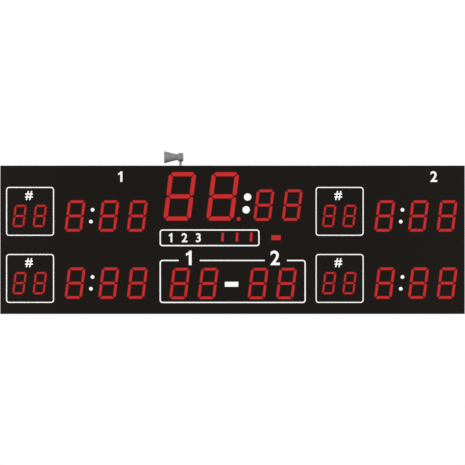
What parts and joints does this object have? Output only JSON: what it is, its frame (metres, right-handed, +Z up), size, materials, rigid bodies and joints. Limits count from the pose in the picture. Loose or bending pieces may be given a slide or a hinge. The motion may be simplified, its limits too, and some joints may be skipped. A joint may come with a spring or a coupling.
{
  "type": "wall-mounted electronic scoreboard",
  "caption": "Wide black wall scoreboard with slotted seven-segment digits behind red lenses, a raisable front on a piano hinge, gas struts, latches and a small horn on top.",
  "frame": {"origin": "middle of the wall rail's back face, on the wall, at the rail's own datum height", "axes": "+X along the board to the viewer's right, +Y into the wall, +Z up"},
  "size_m": [2.88, 0.11, 1.016],
  "materials": {
    "face_sheet": "fine black powder coat on aluminium sheet",
    "frame_aluminium": "black anodised extrusion",
    "red_lens": "tinted acrylic, lit from behind",
    "circuit_board": "green solder mask with white reflector wells",
    "zinc_steel": "zinc-plated sheet",
    "rubber_seal": "black closed-cell rubber",
    "stainless": "plain stainless steel",
    "strut_paint": "satin black paint",
    "switch_plastic": "moulded black plastic",
    "horn_enamel": "grey enamel"
  },
  "bodies": {
    "cabinet": {"back_panel": "zinc_steel", "cabinet_frame_bottom": "frame_aluminium", "cabinet_frame_left": "frame_aluminium", "cabinet_frame_right": "frame_aluminium", "cabinet_frame_top": "frame_aluminium", "cable_grommet": "rubber_seal", "controller_board": "circuit_board", "gasket": "rubber_seal", "hanging_rail": "zinc_steel", "hinge_leaf_cabinet": "stainless", "hinge_pin": "stainless", "horn_base_bolt": "stainless", "latch_barrel_left": "stainless", "latch_barrel_right": "stainless", "lower_spacer_left": "zinc_steel", "lower_spacer_right": "zinc_steel", "power_supply": "zinc_steel", "strut_anchor_left": "stainless", "strut_anchor_right": "stainless", "switch_housing": "switch_plastic", "wall_rail": "zinc_steel"},
    "front": {"front_panel": "face_sheet", "front_frame_top": "frame_aluminium", "front_frame_bottom": "frame_aluminium", "front_frame_left": "frame_aluminium", "front_frame_right": "frame_aluminium", "clock_lens": "red_lens", "period_lens": "red_lens", "score_lens": "red_lens", "home_upper_number_lens": "red_lens", "home_upper_time_lens": "red_lens", "home_lower_number_lens": "red_lens", "home_lower_time_lens": "red_lens", "guest_upper_number_lens": "red_lens", "guest_upper_time_lens": "red_lens", "guest_lower_number_lens": "red_lens", "guest_lower_time_lens": "red_lens", "clock_led_board": "circuit_board", "period_led_board": "circuit_board", "score_led_board": "circuit_board", "home_upper_led_board": "circuit_board", "home_lower_led_board": "circuit_board", "guest_upper_led_board": "circuit_board", "guest_lower_led_board": "circuit_board", "hinge_leaf_front": "stainless", "latch_keeper_left": "stainless", "latch_keeper_right": "stainless", "strut_bracket_left": "stainless", "strut_bracket_right": "stainless"},
    "latch_left": {"latch_cam_left": "stainless"},
    "latch_right": {"latch_cam_right": "stainless"},
    "strut_tube_left": {"strut_tube_left": "strut_paint"},
    "strut_tube_right": {"strut_tube_right": "strut_paint"},
    "strut_rod_left": {"strut_rod_left": "stainless"},
    "strut_rod_right": {"strut_rod_right": "stainless"},
    "rocker": {"power_rocker": "switch_plastic"},
    "horn_swivel": {"horn_bracket": "stainless"},
    "horn": {"horn_bell": "horn_enamel", "horn_driver": "horn_enamel", "horn_pivot_bolt": "stainless"}
  },
  "joints": [
    {"name": "front_hinge", "type": "hinge", "parent": "cabinet", "child": "front", "pos_m": [0, -0.088, 0.1137], "axis": [-1, 0, 0], "range_deg": [0, 75]},
    {"name": "strut_left_pivot", "type": "hinge", "parent": "cabinet", "child": "strut_tube_left", "pos_m": [-1.41, -0.05, -0.3963], "axis": [1, 0, 0], "range_deg": [0, 14.5]},
    {"name": "strut_left_slide", "type": "slide", "parent": "strut_tube_left", "child": "strut_rod_left", "axis": [0, -0.045, 0.999], "range_m": [0, 0.083]},
    {"name": "strut_right_pivot", "type": "hinge", "parent": "cabinet", "child": "strut_tube_right", "pos_m": [1.41, -0.05, -0.3963], "axis": [1, 0, 0], "range_deg": [0, 14.5]},
    {"name": "strut_right_slide", "type": "slide", "parent": "strut_tube_right", "child": "strut_rod_right", "axis": [0, -0.045, 0.999], "range_m": [0, 0.083]},
    {"name": "latch_left_turn", "type": "hinge", "parent": "cabinet", "child": "latch_left", "pos_m": [-0.9, -0.066, -0.776], "axis": [0, 0, 1], "range_deg": [0, 90]},
    {"name": "latch_right_turn", "type": "hinge", "parent": "cabinet", "child": "latch_right", "pos_m": [0.9, -0.066, -0.776], "axis": [0, 0, 1], "range_deg": [0, 90]},
    {"name": "rocker_tip", "type": "hinge", "parent": "cabinet", "child": "rocker", "pos_m": [1.2, -0.066, -0.7941], "axis": [0, 1, 0], "range_deg": [0, 20]},
    {"name": "horn_turn", "type": "hinge", "parent": "cabinet", "child": "horn_swivel", "pos_m": [-0.326, -0.052, 0.1094], "axis": [0, 0, 1], "range_deg": [0, 90]},
    {"name": "horn_tilt", "type": "hinge", "parent": "horn_swivel", "child": "horn", "pos_m": [-0.326, -0.052, 0.176], "axis": [0, 1, 0], "range_deg": [-5, 30]}
  ],
  "couplings": [
    {"joint": "strut_left_pivot", "follows": "front_hinge", "ratio": 0.18893},
    {"joint": "strut_left_slide", "follows": "front_hinge", "m_per_rad": 0.062855},
    {"joint": "strut_right_pivot", "follows": "front_hinge", "ratio": 0.18893},
    {"joint": "strut_right_slide", "follows": "front_hinge", "m_per_rad": 0.062855}
  ]
}
